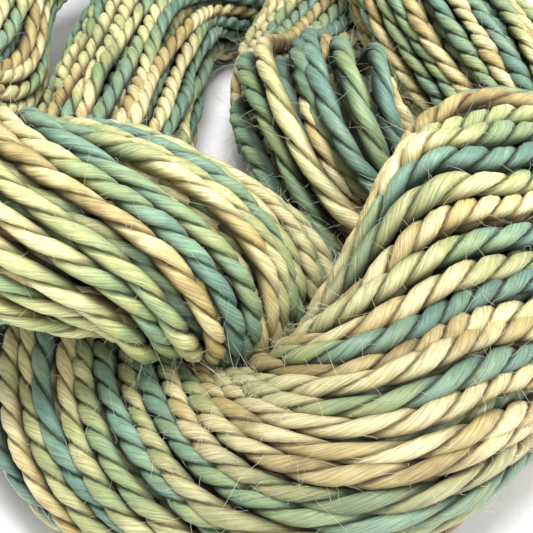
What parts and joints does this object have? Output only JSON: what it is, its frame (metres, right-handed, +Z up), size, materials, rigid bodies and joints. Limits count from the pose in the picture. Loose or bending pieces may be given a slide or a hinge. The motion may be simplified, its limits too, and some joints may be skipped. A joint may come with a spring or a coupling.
{
  "type": "embroidery floss skein",
  "caption": "Small skein of thick two-ply embroidery floss: a doubled ring of strands, its legs twisted like a rope and one end tucked through the other loop.",
  "frame": {"origin": "on the table, under the middle of the skein's bounding box", "axes": "+Z up, Y along the skein, with the tucked near end at -Y and the rope's doubled far end at +Y, X across"},
  "size_m": [0.0418, 0.0996, 0.0185],
  "materials": {
    "variegated_floss": "soft satin two-ply thread in drifting cream, ochre, sage and grey-teal"
  },
  "bodies": {
    "root": {"skein": "variegated_floss"}
  },
  "joints": []
}
